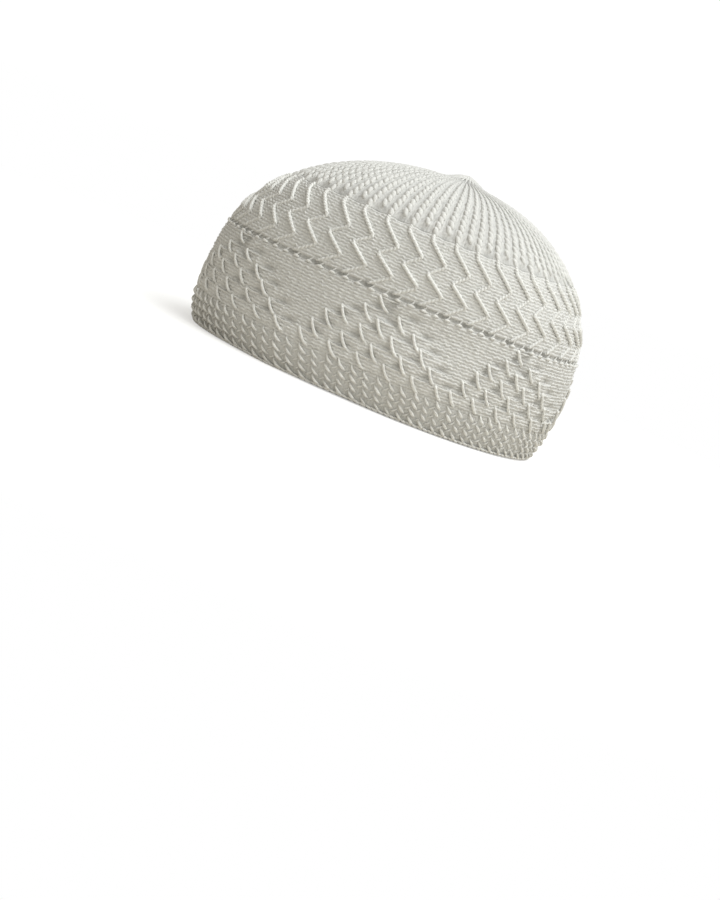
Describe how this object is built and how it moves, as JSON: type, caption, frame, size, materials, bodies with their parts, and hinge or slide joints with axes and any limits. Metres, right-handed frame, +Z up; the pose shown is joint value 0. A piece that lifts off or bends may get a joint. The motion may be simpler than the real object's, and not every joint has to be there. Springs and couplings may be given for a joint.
{
  "type": "knitted chechia skull cap",
  "caption": "Close-fitting hollow skull cap in thick white knit, with a rolled rim band, stepped triangles, zigzag ropes and a ribbed, gathered crown.",
  "frame": {"origin": "on the rim plane, under the middle of the cap's outline", "axes": "+Z up from the rim to the crown, -Y towards the forehead, +X towards the wearer's left"},
  "size_m": [0.1539, 0.1925, 0.1168],
  "materials": {
    "white_yarn": "matt white cotton knit with a faint soft sheen"
  },
  "bodies": {
    "root": {"knitted_cap": "white_yarn"}
  },
  "joints": []
}
